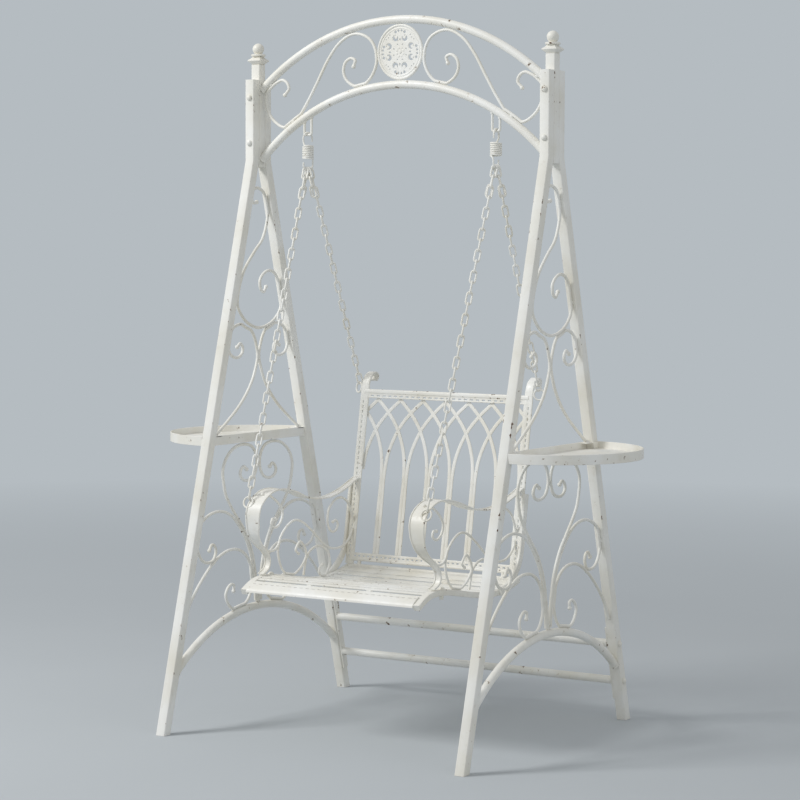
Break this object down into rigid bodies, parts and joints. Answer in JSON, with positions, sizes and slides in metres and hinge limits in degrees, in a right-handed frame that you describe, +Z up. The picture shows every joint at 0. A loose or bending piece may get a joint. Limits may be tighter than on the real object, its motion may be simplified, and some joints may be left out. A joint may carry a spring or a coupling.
{
  "type": "framed swing bench",
  "caption": "Wrought-iron garden swing bench: a slatted seat with scrolled arms and a pierced back, hung on springs and chains in an arched stand.",
  "frame": {"origin": "on the ground, midway between the four feet", "axes": "+Z up, -Y the way the seat faces, +X to the right as seen from the front"},
  "size_m": [1.598, 1.0238, 2.1665],
  "materials": {
    "arch_medallion": "weathered satin paint",
    "arch_post_left": "weathered satin paint",
    "arch_post_right": "weathered satin paint",
    "arch_scroll_left": "weathered satin paint",
    "arch_scroll_right": "weathered satin paint",
    "arch_tube_lower": "weathered satin paint",
    "arch_tube_upper": "weathered satin paint",
    "arm_band_left": "weathered satin paint",
    "arm_band_right": "weathered satin paint",
    "arm_scrolls_left": "weathered satin paint",
    "arm_scrolls_right": "weathered satin paint",
    "arm_strut_left": "weathered satin paint",
    "arm_strut_right": "weathered satin paint",
    "back_leg_left": "weathered satin paint",
    "back_leg_right": "weathered satin paint",
    "backrest_frame": "weathered satin paint",
    "backrest_tracery": "weathered satin paint",
    "brace_bolt_lower_left": "weathered satin paint",
    "brace_bolt_lower_right": "weathered satin paint",
    "brace_bolt_upper_left": "weathered satin paint",
    "brace_bolt_upper_right": "weathered satin paint",
    "chain_back_left": "weathered satin paint",
    "chain_back_right": "weathered satin paint",
    "chain_front_left": "weathered satin paint",
    "chain_front_right": "weathered satin paint",
    "finial_left": "weathered satin paint",
    "finial_right": "weathered satin paint",
    "front_leg_left": "weathered satin paint",
    "front_leg_right": "weathered satin paint",
    "heart_scroll_left": "weathered satin paint",
    "heart_scroll_right": "weathered satin paint",
    "lower_scroll_back_left": "weathered satin paint",
    "lower_scroll_back_right": "weathered satin paint",
    "lower_scroll_front_left": "weathered satin paint",
    "lower_scroll_front_right": "weathered satin paint",
    "post_bolt_lower_left": "weathered satin paint",
    "post_bolt_lower_right": "weathered satin paint",
    "post_bolt_upper_left": "weathered satin paint",
    "post_bolt_upper_right": "weathered satin paint",
    "rear_brace": "weathered satin paint",
    "scroll_pair_left": "weathered satin paint",
    "scroll_pair_right": "weathered satin paint",
    "seat_frame": "weathered satin paint",
    "seat_slats": "weathered satin paint",
    "side_scroll_back_left": "weathered satin paint",
    "side_scroll_back_right": "weathered satin paint",
    "side_scroll_front_left": "weathered satin paint",
    "side_scroll_front_right": "weathered satin paint",
    "side_tie_left": "weathered satin paint",
    "side_tie_right": "weathered satin paint",
    "spring_left": "weathered satin paint",
    "spring_right": "weathered satin paint",
    "top_scroll_left": "weathered satin paint",
    "top_scroll_right": "weathered satin paint",
    "tray_left": "weathered satin paint",
    "tray_right": "weathered satin paint",
    "u_link_left": "weathered satin paint",
    "u_link_right": "weathered satin paint"
  },
  "bodies": {
    "stand": {"arch_medallion": "arch_medallion", "arch_post_left": "arch_post_left", "arch_post_right": "arch_post_right", "arch_scroll_left": "arch_scroll_left", "arch_scroll_right": "arch_scroll_right", "arch_tube_lower": "arch_tube_lower", "arch_tube_upper": "arch_tube_upper", "back_leg_left": "back_leg_left", "back_leg_right": "back_leg_right", "brace_bolt_lower_left": "brace_bolt_lower_left", "brace_bolt_lower_right": "brace_bolt_lower_right", "brace_bolt_upper_left": "brace_bolt_upper_left", "brace_bolt_upper_right": "brace_bolt_upper_right", "finial_left": "finial_left", "finial_right": "finial_right", "front_leg_left": "front_leg_left", "front_leg_right": "front_leg_right", "heart_scroll_left": "heart_scroll_left", "heart_scroll_right": "heart_scroll_right", "lower_scroll_back_left": "lower_scroll_back_left", "lower_scroll_back_right": "lower_scroll_back_right", "lower_scroll_front_left": "lower_scroll_front_left", "lower_scroll_front_right": "lower_scroll_front_right", "post_bolt_lower_left": "post_bolt_lower_left", "post_bolt_lower_right": "post_bolt_lower_right", "post_bolt_upper_left": "post_bolt_upper_left", "post_bolt_upper_right": "post_bolt_upper_right", "rear_brace": "rear_brace", "scroll_pair_left": "scroll_pair_left", "scroll_pair_right": "scroll_pair_right", "side_scroll_back_left": "side_scroll_back_left", "side_scroll_back_right": "side_scroll_back_right", "side_scroll_front_left": "side_scroll_front_left", "side_scroll_front_right": "side_scroll_front_right", "side_tie_left": "side_tie_left", "side_tie_right": "side_tie_right", "top_scroll_left": "top_scroll_left", "top_scroll_right": "top_scroll_right", "tray_left": "tray_left", "tray_right": "tray_right", "u_link_left": "u_link_left", "u_link_right": "u_link_right"},
    "hanger": {"spring_left": "spring_left", "spring_right": "spring_right"},
    "bench": {"arm_band_left": "arm_band_left", "arm_band_right": "arm_band_right", "arm_scrolls_left": "arm_scrolls_left", "arm_scrolls_right": "arm_scrolls_right", "arm_strut_left": "arm_strut_left", "arm_strut_right": "arm_strut_right", "backrest_frame": "backrest_frame", "backrest_tracery": "backrest_tracery", "chain_back_left": "chain_back_left", "chain_back_right": "chain_back_right", "chain_front_left": "chain_front_left", "chain_front_right": "chain_front_right", "seat_frame": "seat_frame", "seat_slats": "seat_slats"}
  },
  "joints": [
    {"name": "swing", "type": "hinge", "parent": "stand", "child": "hanger", "pos_m": [0, 0, 1.813], "axis": [1, 0, 0], "range_deg": [-20, 20]},
    {"name": "spring_stretch", "type": "slide", "parent": "hanger", "child": "bench", "axis": [0, 0, -1], "range_m": [0, 0.02], "stiffness_N_per_m": 90000, "springref_m": -0.0045, "deforming": ["spring_left", "spring_right"]}
  ]
}
